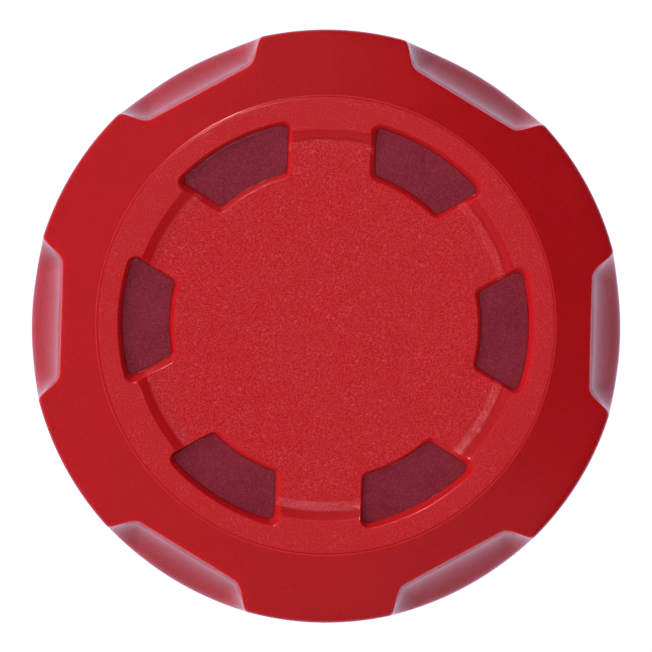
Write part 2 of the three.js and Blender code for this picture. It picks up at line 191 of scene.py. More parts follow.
def grown(outline, by):
    """The sizes of a window outline moved outwards."""
    return dict(
        inner=outline["inner"] - by,
        outer=outline["outer"] + by,
        side=outline["side"] - by,
        corner=outline["corner"] + by,
    )


def turned_by(points, angle, shift=(0, 0)):
    c, s = math.cos(angle), math.sin(angle)
    return [(x * c - y * s + shift[0], x * s + y * c + shift[1]) for x, y in points]


def lug_outline(by, index):
    """The outline of one of the core's lugs in place, grown by a margin. The core has settled to one side."""
    return turned_by(window_outline(**grown(LUG, by)), index * PITCH + LUG_TURN, LUG_SHIFT)


# Meshes

class Shape:
    """Vertices in millimetres and faces, gathered part by part and welded at the end."""

    def __init__(self):
        self.vertices = []
        self.faces = []

    def add(self, vertices, faces):
        start = len(self.vertices)
        self.vertices.extend(vertices)
        self.faces.extend(tuple(start + i for i in face) for face in faces)
        return self

    def grid(self, rows, round_rows=False, round_columns=False):
        """Quads between rows of equally many points."""
        count = len(rows[0])
        faces = []
        last_row = len(rows) if round_rows else len(rows) - 1
        last_column = count if round_columns else count - 1
        for i in range(last_row):
            for k in range(last_column):
                a = i * count + k
                b = i * count + (k + 1) % count
                c = (i + 1) % len(rows) * count + (k + 1) % count
                d = (i + 1) % len(rows) * count + k
                faces.append((a, b, c, d))
        return self.add([p for row in rows for p in row], faces)

    def cap(self, points):
        return self.add(points, [tuple(range(len(points)))])

    def mesh(self, name, lift=0.0):
        bm = bmesh.new()
        made = [bm.verts.new(Vector(v) * MM + Vector((0, 0, lift * MM))) for v in self.vertices]
        for face in self.faces:
            bm.faces.new([made[i] for i in face])
        bmesh.ops.remove_doubles(bm, verts=bm.verts, dist=0.002 * MM)
        bmesh.ops.dissolve_degenerate(bm, edges=bm.edges, dist=0.001 * MM)
        bmesh.ops.recalc_face_normals(bm, faces=bm.faces)
        mesh = bpy.data.meshes.new(name)
        bm.to_mesh(mesh)
        bm.free()
        return mesh


def turned(profile, angles=None, closed=False, shape=None):
    """A body turned round +Z from a profile of (r, z). shape(angle, r, z) may change a point's radius."""
    angles = angles or even_angles(180)
    rows = []
    for r, z in profile:
        radii = [shape(a, r, z) if shape else r for a in angles]
        rows.append([(q * math.cos(a), q * math.sin(a), z) for a, q in zip(angles, radii)])
    return Shape().grid(rows, round_rows=closed, round_columns=True)


def loft(levels):
    """A closed body through outlines at rising heights: [(z, outline), ...]."""
    rows = [[(x, y, z) for x, y in outline] for z, outline in levels]
    return Shape().grid(rows, round_columns=True).cap(rows[0]).cap(rows[-1])


def thread(wall, crest, bottom, top, datum):
    """The ridges of a thread, which run out at both ends."""
    starts, lead, base, tip = (THREAD[key] for key in ("starts", "lead", "base", "tip"))
    turn = (top - bottom) / lead * TAU
    first = (bottom - datum) / lead * TAU
    run_out = math.radians(16)
    steps = 90
    shape = Shape()
    for start in range(starts):
        sections = []
        for i in range(steps + 1):
            angle = turn * i / steps
            fade = smooth_step(min(angle, turn - angle), 0, run_out)
            reach = wall + (crest - wall) * (0.1 + 0.9 * fade)
            z = bottom + lead * angle / TAU
            flank = [(wall, z - base / 2), (reach, z - tip / 2), (reach, z + tip / 2), (wall, z + base / 2)]
            a = first + angle + start * TAU / starts
            section = rounded(flank, 0.25, closed=True, steps=2)
            sections.append([(r * math.cos(a), r * math.sin(a), h) for r, h in section])
        shape.grid(sections, round_columns=True).cap(sections[0]).cap(sections[-1])
    return shape


def combine(mesh, tool_shapes, operation, name, lift=0.0):
    """The mesh with other shapes, lifted by some millimetres, joined to it or cut from it."""
    body = bpy.data.objects.new(name, mesh)
    bpy.context.scene.collection.objects.link(body)
    tools = []
    for i, shape in enumerate(tool_shapes):
        tool = bpy.data.objects.new(f"{name}_tool_{i}", shape.mesh(f"{name}_tool_{i}", lift))
        bpy.context.scene.collection.objects.link(tool)
        modifier = body.modifiers.new(f"combine_{i}", "BOOLEAN")
        modifier.operation = operation
        modifier.solver = "MANIFOLD"
        modifier.object = tool
        tools.append(tool)
    bpy.context.view_layer.update()
    evaluated = body.evaluated_get(bpy.context.evaluated_depsgraph_get())
    result = bpy.data.meshes.new_from_object(evaluated)
    result.name = name
    for extra in [body, *tools]:
        bpy.data.objects.remove(extra)
    return result


def piece(name, mesh, body, replaced, material):
    """A finished piece of the object: smooth-shaded but for its sharp edges, riding on a CAD body."""
    obj = bpy.data.objects.new(name, mesh)
    bpy.context.scene.collection.objects.link(obj)
    mesh.polygons.foreach_set("use_smooth", [True] * len(mesh.polygons))
    mesh.set_sharp_from_angle(angle=SHARP_EDGE)
    mesh.materials.clear()
    mesh.materials.append(material)
    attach(obj, body)
    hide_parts(*replaced)
    return obj


# Materials

class Nodes:
    """A material's node tree, with the few nodes that these materials use."""

    def __init__(self, name):
        self.material = bpy.data.materials.new(name)
        self.material.use_nodes = True
        self.tree = self.material.node_tree
        self.shader = self.tree.nodes["Principled BSDF"]
        self.place = self.tree.nodes.new("ShaderNodeTexCoord").outputs["Object"]

    def link(self, source, target):
        self.tree.links.new(source, target)

    def noise(self, scale, detail=2, roughness=0.5, stretch=(1, 1, 1)):
        """Noise whose features are about 1/scale metres across."""
        mapping = self.tree.nodes.new("ShaderNodeMapping")
        mapping.inputs["Scale"].default_value = stretch
        self.link(self.place, mapping.inputs["Vector"])
        node = self.tree.nodes.new("ShaderNodeTexNoise")
        node.inputs["Scale"].default_value = scale
        node.inputs["Detail"].default_value = detail
        node.inputs["Roughness"].default_value = roughness
        self.link(mapping.outputs["Vector"], node.inputs["Vector"])
        return node.outputs["Fac"]

    def ramp(self, value, low, high, to_low=0.0, to_high=1.0):
        node = self.tree.nodes.new("ShaderNodeMapRange")
        node.interpolation_type = "SMOOTHSTEP"
        for key, number in (("From Min", low), ("From Max", high), ("To Min", to_low), ("To Max", to_high)):
            node.inputs[key].default_value = number
        self.link(value, node.inputs["Value"])
        return node.outputs["Result"]

    def math(self, operation, a, b):
        node = self.tree.nodes.new("ShaderNodeMath")
        node.operation = operation
        for socket, value in zip(node.inputs, (a, b)):
            if isinstance(value, (int, float)):
                socket.default_value = value
            else:
                self.link(value, socket)
        return node.outputs["Value"]

    def mix(self, factor, first, second):
        node = self.tree.nodes.new("ShaderNodeMix")
        node.data_type = "RGBA"
        self.link(factor, node.inputs["Factor"])
        for socket, colour in ((node.inputs[6], first), (node.inputs[7], second)):
            if isinstance(colour, tuple):
                socket.default_value = (*colour, 1)
            else:
                self.link(colour, socket)
        return node.outputs[2]

    def bump(self, height, distance, strength=1.0):
        node = self.tree.nodes.new("ShaderNodeBump")
        node.inputs["Distance"].default_value = distance
        node.inputs["Strength"].default_value = strength
        self.link(height, node.inputs["Height"])
        return node.outputs["Normal"]

    def axis(self, name):
        node = self.tree.nodes.new("ShaderNodeSeparateXYZ")
        self.link(self.place, node.inputs["Vector"])
        return node.outputs[name]

    def facing_up(self):
        """The upward part of the surface's direction."""
        node = self.tree.nodes.new("ShaderNodeSeparateXYZ")
        self.link(self.place.node.outputs["Normal"], node.inputs["Vector"])
        return node.outputs["Z"]

    def radius(self):
        """Distance from the barrel's axis."""
        x, y = self.axis("X"), self.axis("Y")
        square = self.math("ADD", self.math("MULTIPLY", x, x), self.math("MULTIPLY", y, y))
        return self.math("SQRT", square, 0.5)

    def band(self, rise, fall):
        """1 between two radii and 0 outside them, from the spans in millimetres where it rises and falls."""
        inner = self.ramp(self.radius(), rise[0] * MM, rise[1] * MM)
        outer = self.ramp(self.radius(), fall[0] * MM, fall[1] * MM, 1, 0)
        return self.math("MULTIPLY", inner, outer)

    def finish(self, colour=None, roughness=None, normal=None, **sockets):
        for source, key in ((colour, "Base Color"), (roughness, "Roughness"), (normal, "Normal")):
            if source is not None:
                self.link(source, self.shader.inputs[key])
        for key, value in sockets.items():
            self.shader.inputs[key.replace("_", " ")].default_value = value
        return self.material


def lid_red():
    """Red moulded plastic: sandy on the disc, its soft edge and the ring, smooth on bevel and sides.

    A paler line is painted round the crease between the ring and the bevel as its highlight.
    """
    n = Nodes("lid_red")
    ring = LID["ring"]
    top = n.ramp(n.axis("Z"), (LID_TOP - 1.5) * MM, (LID_TOP - 1.3) * MM)
    inside_ring = n.ramp(n.radius(), (ring - 0.5) * MM, (ring - 0.2) * MM, 1, 0)
    level = n.ramp(n.facing_up(), 0.994, 0.9995)
    fillet = n.band((32.6, 33.1), (34.1, 34.6))
    recessed = n.math("MULTIPLY", top, inside_ring)
    textured = n.math("MULTIPLY", recessed, n.math("MAXIMUM", level, fillet))
    grain = n.noise(3500, 2, 0.6)
    cloud = n.noise(60, 3, 0.6)
    # Painted shade: below the bevel the lid's sides are given a darker red, which stands in for the shade on
    # them.
    side = n.ramp(n.axis("Z"), (LID_TOP - 4.5) * MM, (LID_TOP - 2.5) * MM, 1, 0)
    smooth_red = n.mix(n.ramp(cloud, 0.3, 0.7), (0.44, 0.0016, 0.0055), (0.47, 0.0022, 0.0065))
    painted_shade_red = n.mix(n.ramp(cloud, 0.3, 0.7), (0.31, 0.0016, 0.0040), (0.33, 0.0022, 0.0048))
    sunken = n.math("MULTIPLY", recessed, n.ramp(n.facing_up(), 0.86, 0.97, 1, 0))
    plain = n.mix(sunken, n.mix(side, smooth_red, painted_shade_red), (0.54, 0.0080, 0.0110))
    mottled = n.mix(n.ramp(grain, 0.36, 0.64, 0, 0.4), plain, (0.54, 0.0160, 0.0220))
    # Painted glints: pale pink specks in the sandy grain, gathered in patches, stand in for the grain's
    # glints.
    patches = n.ramp(n.noise(260, 2, 0.5), 0.35, 0.65, 0.15, 0.75)
    painted_glint_flecks = n.math("MULTIPLY", n.ramp(n.noise(2700, 1, 0.5), 0.56, 0.70), patches)
    ground = n.mix(n.ramp(grain, 0.36, 0.64), (0.505, 0.0125, 0.0190), (0.620, 0.0420, 0.0490))
    sandy = n.mix(painted_glint_flecks, ground, (0.69, 0.092, 0.110))
    grained = n.mix(n.ramp(n.radius(), 35.9 * MM, 36.3 * MM, 0, 0.3), sandy, (0.570, 0.0270, 0.0340))
    # Painted highlight: a paler line along the crease between the ring and the bevel.
    painted_crease_highlight = n.band((ring - 0.14, ring - 0.06), (ring + 0.06, ring + 0.14))
    painted_crease_highlight_share = n.math("MULTIPLY", n.math("MULTIPLY", painted_crease_highlight, top), 0.5)
    colour = n.mix(painted_crease_highlight_share, n.mix(textured, mottled, grained), (0.72, 0.060, 0.070))
    rough = n.ramp(grain, 0.3, 0.7, 0.10, 0.14)
    sparkle = n.math("MULTIPLY", n.ramp(n.noise(2500, 1, 0.5), 0.35, 0.65), n.math("MULTIPLY", fillet, 1.3))
    height = n.math("ADD", n.math("MULTIPLY", grain, n.ramp(textured, 0, 1, 0.12, 1)), sparkle)
    return n.finish(
        colour,
        rough,
        n.bump(height, 0.03 * MM),
        Specular_IOR_Level=0.28,
        Subsurface_Weight=1,
        Subsurface_Radius=(1, 0.12, 0.15),
        Subsurface_Scale=2 * MM,
    )


def core_plum():
    """Frosted plum plastic. Its pale specks follow the grain and are partly painted glints."""
    n = Nodes("core_plum")
    grain = n.noise(3500, 2, 0.6)
    cloud = n.noise(160, 4, 0.6)
    base = n.mix(n.ramp(cloud, 0.3, 0.7), (0.176, 0.0125, 0.026), (0.210, 0.0175, 0.034))
    # Partly painted glints: pale specks along the grain, paler than the grain itself would be.
    grain_and_painted_glints = n.mix(n.ramp(grain, 0.42, 0.72, 0, 0.5), base, (0.30, 0.040, 0.065))
    normal = n.bump(grain, 0.02 * MM)
    return n.finish(grain_and_painted_glints, n.ramp(grain, 0.3, 0.7, 0.16, 0.24), normal, Specular_IOR_Level=0.3)


def drum_plum():
    """Dark plum plastic with a spark texture, a little scuffed."""
    n = Nodes("drum_plum")
    grain = n.noise(2600, 3, 0.6)
    scuffs = n.ramp(n.noise(260, 5, 0.7, (1, 1, 0.25)), 0.6, 0.72)
    base = n.mix(n.ramp(n.noise(45, 3), 0.3, 0.7), (0.040, 0.010, 0.016), (0.052, 0.013, 0.020))
    worn = n.mix(n.math("MULTIPLY", scuffs, 0.35), base, (0.11, 0.05, 0.06))
    rough = n.math("ADD", n.ramp(grain, 0.3, 0.7, 0.42, 0.56), n.math("MULTIPLY", scuffs, 0.1))
    return n.finish(worn, rough, n.bump(grain, 0.08 * MM, 0.7))


def cap_red():
    """The base cap's red plastic, spark-textured all over."""
    n = Nodes("cap_red")
    grain = n.noise(2800, 3, 0.6)
    scuffs = n.ramp(n.noise(300, 4, 0.7), 0.6, 0.75)
    base = n.mix(n.ramp(n.noise(50, 3), 0.3, 0.7), (0.47, 0.0055, 0.0085), (0.54, 0.0070, 0.0105))
    worn = n.mix(n.math("MULTIPLY", scuffs, 0.2), base, (0.60, 0.09, 0.10))
    rough = n.math("ADD", n.ramp(grain, 0.3, 0.7, 0.40, 0.52), n.math("MULTIPLY", scuffs, 0.1))
    return n.finish(worn, rough, n.bump(grain, 0.07 * MM, 0.8))


def tyre_rubber():
    """Black rubber with a trace of stone dust."""
    n = Nodes("tyre_rubber")
    dust = n.ramp(n.noise(220, 5, 0.7), 0.5, 0.8)
    grain = n.noise(1800, 4, 0.6)
    colour = n.mix(n.math("MULTIPLY", dust, 0.35), (0.014, 0.014, 0.015), (0.075, 0.070, 0.066))
    rough = n.ramp(dust, 0, 1, 0.62, 0.85)
    return n.finish(colour, rough, n.bump(grain, 0.09 * MM, 0.8))


def liner_rubber():
    """Dark grey moulded rubber with faint grey slurry marks."""
    n = Nodes("liner_rubber")
    marks = n.ramp(n.noise(120, 5, 0.7, (1, 1, 0.4)), 0.5, 0.78)
    grain = n.noise(1500, 4, 0.6)
    colour = n.mix(n.math("MULTIPLY", marks, 0.4), (0.024, 0.023, 0.024), (0.11, 0.105, 0.10))
    return n.finish(colour, n.ramp(marks, 0, 1, 0.55, 0.78), n.bump(grain, 0.1 * MM, 0.7))


def brushed_steel():
    """Brushed stainless steel with fine lines along X."""
    n = Nodes("brushed_steel")
    lines = n.noise(900, 3, 0.6, (0.06, 1, 1))
    stain = n.noise(150, 3, 0.6)
    colour = n.mix(n.ramp(stain, 0.3, 0.7), (0.52, 0.53, 0.55), (0.62, 0.63, 0.64))
    return n.finish(colour, n.ramp(lines, 0.3, 0.7, 0.22, 0.40), n.bump(lines, 0.01 * MM, 0.6), Metallic=1.0)


def zinc():
    """Bright zinc plating on the screws."""
    n = Nodes("zinc")
    stain = n.noise(700, 4, 0.6)
    colour = n.mix(n.ramp(stain, 0.3, 0.7), (0.55, 0.56, 0.57), (0.70, 0.71, 0.70))
    normal = n.bump(n.noise(4000), 0.01 * MM, 0.5)
    return n.finish(colour, n.ramp(stain, 0.3, 0.7, 0.20, 0.36), normal, Metallic=1.0)


def acetal():
    """Natural white acetal, faintly yellowed in patches."""
    n = Nodes("acetal")
    stain = n.noise(400, 4, 0.6)
    colour = n.mix(n.ramp(stain, 0.4, 0.75), (0.78, 0.76, 0.71), (0.70, 0.66, 0.58))
    normal = n.bump(n.noise(2500), 0.02 * MM, 0.5)
    return n.finish(colour, n.ramp(stain, 0.3, 0.7, 0.32, 0.45), normal, Subsurface_Weight=0.1)


RED = lid_red()
CAP_RED = cap_red()
CORE_PLUM = core_plum()
DRUM_PLUM = drum_plum()
TYRE_RUBBER = tyre_rubber()
LINER_RUBBER = liner_rubber()
STEEL = brushed_steel()
ZINC = zinc()
ACETAL = acetal()


# The lid

SCOOP_TOP = -(SCOOP["chord"] - LID["ring"]) * math.tan(BEVEL)
SCOOP_SIDE = math.sin(SCOOP["flare"]) * SCOOP["chord"] - math.cos(SCOOP["flare"]) * SCOOP["half"]


def scoop_out(z):
    """How far a scoop's wall has moved out at a height: steep at the top, bending outwards below."""
    bend, steep, shallow = SCOOP["bend"], SCOOP["steep"], SCOOP["shallow"]
    depth = SCOOP_TOP - z
    if depth < 0:
        return depth / math.tan(steep)
    bent = bend * (math.cos(shallow) - math.cos(steep))
    slope = math.acos(math.cos(steep) + min(depth, bent) / bend)
    return bend * (math.sin(steep) - math.sin(slope)) + max(0.0, depth - bent) / math.tan(shallow)


def lid_wall(angle, z):
    """The radius of the lid's side at an angle and height, with its scoops."""
    turn = abs((angle + PITCH / 2) % PITCH - PITCH / 2)
    out = scoop_out(z)
    chord = (SCOOP["chord"] + out) / math.cos(turn)
    side = (SCOOP_SIDE + out) / math.sin(SCOOP["flare"] - turn)
    taper = (LID["radius"] - LID["band"]) * (-z / LID["height"])
    return smooth_min(smooth_max(chord, side, 1.3), LID["radius"] - taper, 1.4)


def lid_column(angle):
    """The lid's outer profile at one angle, from the flat ring over the edge and down to the bore's roof."""
    ring = LID["ring"]
    down = math.tan(BEVEL)
    z = -3.0
    for _ in range(12):
        z = -(lid_wall(angle, z) - ring) * down
    corner = (lid_wall(angle, z), z)
    reach = 0.5 + 0.55 * smooth_step(corner[0], 53.6, 55)
    before = (corner[0] - reach * math.cos(BEVEL), corner[1] + reach * math.sin(BEVEL))
    after = (lid_wall(angle, corner[1] - reach), corner[1] - reach)
    bend = 0.1
    crease = [
        (ring - 2 * bend, 0),
        *curve((ring - bend, 0), (ring, 0), (ring + bend, -bend * down), 4),
        (ring + 2 * bend, -2 * bend * down),
    ]
    bevel = [tuple(a + (b - a) * t for a, b in zip(crease[-1], before)) for t in spaced(0, 1, 7)[1:-1]]
    side = [(lid_wall(angle, h), h) for h in spaced(after[1], -15, 32)[1:]]
    foot = lid_wall(angle, -LID["height"])
    height, bore, roof = LID["height"], LID["bore"], LID["roof"]
    below = rounded([(foot, -16), (foot, -height), (bore, -height), (bore, roof), (bore - 2, roof)], 0.8)
    return crease + bevel + curve(before, corner, after, 6) + side + below[1:]


def lid_angles():
    """Angles of the lid's columns, closest where the scoops' flared sides meet the rim."""
    half = spaced(0, 8, 8) + spaced(8, 12, 8)[1:] + spaced(12, 19, 24)[1:] + spaced(19, 30, 11)[1:]
    sector = [-a for a in reversed(half[1:-1])] + half
    return [math.radians(a) + i * PITCH for i in range(COUNT) for a in sector]


TOP_PROFILE = [
    (32, LID["disc"]),
    *curve((32.8, LID["disc"]), (33.1, LID["disc"]), (33.4, -0.75), 5),
    *curve((34.45, -0.59), (34.85, -0.52), (35.05, -0.43), 5),
    *curve((35.95, -0.05), (36.08, 0), (36.35, 0), 5),
    (38, 0),
]


def top_height(r):
    """The height of the lid's top at a radius: the disc, the step up, and the flat ring."""
    return float(np.interp(r, [p[0] for p in TOP_PROFILE], [p[1] for p in TOP_PROFILE]))


def flat_sheet(loops, points, inside_holes):
    """Triangles between closed loops and loose points in the plane, without those inside holes."""
    flat, edges = [], []
    for loop in loops:
        start = len(flat)
        flat.extend(Vector(p) for p in loop)
        edges.extend((start + i, start + (i + 1) % len(loop)) for i in range(len(loop)))
    flat.extend(Vector(p) for p in points)
    vertices, _, faces, _, _, _ = geometry.delaunay_2d_cdt(flat, edges, [], 0, 1e-6)
    kept = []
    for face in faces:
        middle = sum((vertices[i] for i in face), Vector((0, 0))) / len(face)
        if not inside_holes(middle):
            kept.append(tuple(face))
    return vertices, kept


def within(outline, point):
    """True if a point lies inside a closed outline."""
    x, y = point
    inside = False
    for (ax, ay), (bx, by) in zip(outline, outline[1:] + outline[:1]):
        if (ay > y) != (by > y) and x < ax + (y - ay) * (bx - ax) / (by - ay):
            inside = not inside
    return inside


def window_index(point):
    return round(math.atan2(point[1], point[0]) / PITCH) % COUNT


# A window's wall from the top edge to the foot: the share of the way across, and of the way down
WALL_PROFILE = rounded([(0, 0), (0.26, 0, 0.26), (0.92, 1, 0.14), (1, 1)], steps=6)


def lid_mesh():
    edge = 0.25  # how far outside a window's outline its top edge starts to round off
    mouth = grown(WINDOW, edge)
    mouth_outline = window_outline(**mouth)
    guard = window_outline(**grown(WINDOW, 0.7))
    angles = lid_angles()
    columns = [lid_column(a) for a in angles]
    shape = Shape()
    rows = [
        [(c[i][0] * math.cos(a), c[i][0] * math.sin(a), c[i][1]) for c, a in zip(columns, angles)]
        for i in range(len(columns[0]))
    ]
    shape.grid(rows, round_columns=True)

    loops = [[p[:2] for p in rows[0]]]
    for k in range(COUNT):
        for margin in (edge, edge + 0.15):
            loops.append(turned_by(window_outline(**grown(WINDOW, margin)), k * PITCH))
    rings = [10, 20, 26, 30] + [p[0] for p in TOP_PROFILE] + [40, LID["ring"] - 0.7]
    loose = []
    for r in rings:
        count = 36 if r < 26 else 300
        for a in even_angles(count):
            point = (r * math.cos(a), r * math.sin(a))
            local = turned_by([point], -window_index(point) * PITCH)[0]
            if not within(guard, local):
                loose.append(point)

    def in_window(point):
        return within(mouth_outline, turned_by([tuple(point)], -window_index(point) * PITCH)[0])

    flat, faces = flat_sheet(loops, loose, in_window)
    used = sorted({i for f in faces for i in f})
    index = {old: new for new, old in enumerate(used)}
    shape.add(
        [(flat[i].x, flat[i].y, top_height(flat[i].length)) for i in used],
        [tuple(index[i] for i in f) for f in faces],
    )

    floors = [lug_outline(0.02, k) for k in range(COUNT)]
    for k, floor in enumerate(floors):
        top = [(x, y, top_height(math.hypot(x, y))) for x, y in turned_by(mouth_outline, k * PITCH)]
        rows_down = []
        for across, down in WALL_PROFILE:
            rows_down.append([
                (x + (fx - x) * across, y + (fy - y) * across, z + (LUG_TOP - z) * down)
                for (x, y, z), (fx, fy) in zip(top, floor)
            ])
        rows_down.append([(fx, fy, LID["roof"]) for fx, fy in floor])
        shape.grid(rows_down, round_columns=True)

    roof_edge = [p[:2] for p in rows[-1]]
    flat, faces = flat_sheet([roof_edge, *floors], [], lambda p: within(floors[window_index(p)], tuple(p)))
    shape.add([(p.x, p.y, LID["roof"]) for p in flat], faces)
    return shape.mesh("lid_outer", LID_TOP)


def sector(inner, outer, half_angle, steps=6):
    return arc(0, 0, outer, -half_angle, half_angle, steps) + arc(0, 0, inner, half_angle, -half_angle, steps)


def skirt_pockets():
    """Cutters for the pockets in the lid's skirt. They are shallower where the scoops cut in."""
    tops = POCKET["tops"]
    pockets = []
    for i in range(COUNT * len(tops)):
        angle = i * PITCH / len(tops)
        outline = turned_by(sector(POCKET["inner"], POCKET["outer"], POCKET["half"]), angle)
        pockets.append(loft([(-LID["height"] - 1, outline), (tops[i % len(tops)], outline)]))
    return pockets


def gathered(shapes):
    """Separate shapes as one."""
    made = Shape()
    for shape in shapes:
        made.add(shape.vertices, shape.faces)
    return made


def build_lid():
    nut = thread(
        LID["bore"] + 0.3,
        THREAD["nut_crest"],
        NUT["low"] - LID_TOP,
        NUT["high"] - LID_TOP,
        THREAD["low"] - NUT["under"] - LID_TOP,
    )
    mesh = lid_mesh()
    mesh = combine(mesh, [nut], "UNION", "lid_threaded", LID_TOP)
    mesh = combine(mesh, [gathered(skirt_pockets())], "DIFFERENCE", "lid_shell_moulded", LID_TOP)
    return piece("lid_shell_moulded", mesh, "lid", ["lid_shell"], RED)


def build_core():
    c = CORE
    plate = turned(
        rounded([
            (c["bore"], c["bottom"]),
            (c["rim_inner"], c["bottom"]),
            (c["rim_inner"], c["rim_bottom"]),
            (c["radius"], c["rim_bottom"]),
            (c["radius"], c["top"]),
            (c["pocket"], c["top"]),
            (c["pocket"], c["top"] - 1.6),
            (c["bore"], c["top"] - 1.6),
        ], 0.25, closed=True),
        closed=True,
    )
    lugs = []
    round_off = 0.05
    for k in range(COUNT):
        levels = [(c["top"] - 0.4, lug_outline(0, k))]
        for a in spaced(0, TAU / 4, 3):
            inset = round_off * (1 - math.cos(a))
            levels.append((LUG_TOP - round_off + round_off * math.sin(a), lug_outline(-inset, k)))
        levels.extend((LUG_TOP, lug_outline(-inset, k)) for inset in (0.1, 0.3))
        lugs.append(loft(levels))
    hole = arc(0, 0, CORE_HOLE["radius"], 0, TAU, 40)[:-1]
    holes = []
    for k in range(COUNT):
        angle = (k + 0.5) * PITCH
        centre = (CORE_HOLE["circle"] * math.cos(angle), CORE_HOLE["circle"] * math.sin(angle))
        outline = turned_by(hole, 0, centre)
        holes.append(loft([(c["bottom"] - 1, outline), (c["top"] + 0.6, outline)]))
    mesh = combine(plate.mesh("core_plate", LID_TOP), [gathered(lugs)], "UNION", "core_lugs", LID_TOP)
    mesh = combine(mesh, [gathered(holes)], "DIFFERENCE", "lid_core_moulded", LID_TOP)
    return piece("lid_core_moulded", mesh, "lid", ["lid_core"], CORE_PLUM)


build_lid()
build_core()


# The drum

def build_drum():
    d, n = DRUM, NECK
    flute_low = TYRE["low"] + TYRE["width"] / 2 + FLUTE["clear"]
    flute_high = TYRE["high"] - TYRE["width"] / 2 - FLUTE["clear"]
    flute_radius = FLUTE["radius"]
    flute_centre = d["radius"] + FLUTE["set_out"]

    def fluted(angle, r, z):
        if r < d["radius"] - 0.5 or not flute_low <= z <= flute_high:
            return r
        pitch = TAU / FLUTE["count"]
        across = ((angle + pitch / 2) % pitch - pitch / 2) * r
        past = max(0.0, flute_low + flute_radius - z, z - flute_high + flute_radius)
        square = flute_radius**2 - across**2 - past**2
        if square <= 0:
            return r
        return smooth_min(r, flute_centre - math.sqrt(square), FLUTE["blend"])

    outer = [(d["bore"], d["bottom"]), (d["flange"], d["bottom"]), (d["flange"], d["flange_top"], 1.2)]
    outer += [(d["radius"], d["flange_top"] + 1.2, 1)]

    def groove(middle):
        low, high = middle - TYRE["width"] / 2, middle + TYRE["width"] / 2
        seat = d["radius"] - TYRE["depth"]
        return [(d["radius"], low), (seat, low), (seat, high), (d["radius"], high)]

    outer += groove(TYRE["low"])
    outer += [(d["radius"], z, 0) for z in spaced(flute_low - 0.5, flute_high + 0.5, 46)]
    outer += groove(TYRE["high"])
    rise = d["shoulder_top"] - d["shoulder_bottom"]
    shoulder = arc(d["radius"] - rise, d["shoulder_bottom"], rise, 0, TAU / 4, 10)
    outer += [(r, z, 0) for r, z in shoulder]
    outer += [
        (n["radius"], d["shoulder_top"], 0.5),
        (n["radius"], n["top"], 0.6),
        (n["bore"], n["top"]),
        (n["bore"], d["shoulder_top"] - 1),
        (d["bore"], d["shoulder_bottom"] - 1),
    ]
    body = turned(rounded(outer, 0.35, closed=True, steps=3), even_angles(480), closed=True, shape=fluted)
    ridges = thread(n["radius"] - 0.3, THREAD["crest"], THREAD["low"], THREAD["high"], THREAD["low"])
    mesh = combine(body.mesh("drum_body"), [ridges], "UNION", "drum_shell_moulded")
    return piece("drum_shell_moulded", mesh, "drum", ["drum_shell"], DRUM_PLUM)


def build_liner():
    d, n, liner = DRUM, NECK, LINER
    outer = d["bore"] - GAP
    inner = outer - liner["wall"]
    neck = n["bore"] - GAP
    floor = d["bottom"] + liner["floor"]
    lip = n["top"] + GAP
    lifter_high = d["shoulder_bottom"] - 3

    def ribbed(angle, r, z):
        if r > inner + 0.01 or r < inner - 3 or z < floor - 0.01 or z > d["shoulder_bottom"]:
            return r
        pitch = TAU / liner["lifters"]
        turn = (angle + pitch / 2) % pitch - pitch / 2
        centre = inner + liner["lifter_set"]
        square = liner["lifter"] ** 2 - (centre * math.sin(turn)) ** 2
        if square <= 0:
            return r
        height = smooth_step(z, lifter_high + 0.3, lifter_high - 4)
        rib = centre * math.cos(turn) - math.sqrt(square)
        return smooth_min(r, r + (rib - r) * height, 0.5)

    profile = [
        (0, d["bottom"]),
        (outer, d["bottom"], 1.5),
        (outer, d["shoulder_bottom"] - 1.2, 1),
        (neck, d["shoulder_top"] - 1.2, 1),
        (neck, lip, 0.15),
        (liner["lip_radius"], lip, 0.4),
        (liner["lip_radius"], lip + liner["lip"], 0.5),
        (liner["mouth"], lip + liner["lip"], 0.5),
        (liner["mouth"], d["shoulder_top"] - 1.6, 2),
        (inner, d["shoulder_bottom"] - 2.5, 1),
        *[(inner, z, 0) for z in spaced(lifter_high + 0.3, lifter_high - 4.5, 10)],
        (inner, floor, 1.8),
        (0, floor),
    ]
    made = turned(rounded(profile, 0.4, steps=4), even_angles(480), shape=ribbed)
    mesh = made.mesh("drum_liner_moulded")
    return piece("drum_liner_moulded", mesh, "drum", ["drum_liner"], LINER_RUBBER)


def build_tyre(name, height):
    inner = DRUM["radius"] - TYRE["depth"] + GAP
    half = TYRE["width"] / 2 - GAP
    radius = TYRE["radius"]
    bottom = radius - TREAD["depth"]
    wide, narrow = TREAD["wide"], TREAD["narrow"]
    tread = []
    for z in (-TREAD["spread"] * half, TREAD["spread"] * half):
        groove = [(radius, z - wide), (bottom, z - narrow), (bottom, z + narrow), (radius, z + wide)]
        tread += [(r, h, 0.2) for r, h in groove]
    profile = [(inner, -half, 0.3), (radius, -half, 1), *tread, (radius, half, 1), (inner, half, 0.3)]
    made = turned(rounded(profile, closed=True), even_angles(240), closed=True)
    mesh = made.mesh(f"{name}_moulded", height)
    return piece(f"{name}_moulded", mesh, "drum", [name], TYRE_RUBBER)


def round_hole(radius, x, bottom, top, mouth=0.0):
    """A round cutter along Z, which may flare out by a chamfer where it meets the level 0."""
    def outline(size):
        return turned_by(arc(0, 0, size, 0, TAU, 40)[:-1], 0, (x, 0))

    levels = [(bottom, outline(radius + mouth))]
    if mouth:
        levels += [(0, outline(radius + mouth)), (mouth, outline(radius))]
    return loft([*levels, (top, outline(radius))])


def spun(shape, count):
    """Copies of a shape, evenly spaced round the axis."""
    copies = []
    for angle in even_angles(count):
        turn = Matrix.Rotation(angle, 3, "Z")
        copies.append(Shape().add([tuple(turn @ Vector(v)) for v in shape.vertices], shape.faces))
    return copies


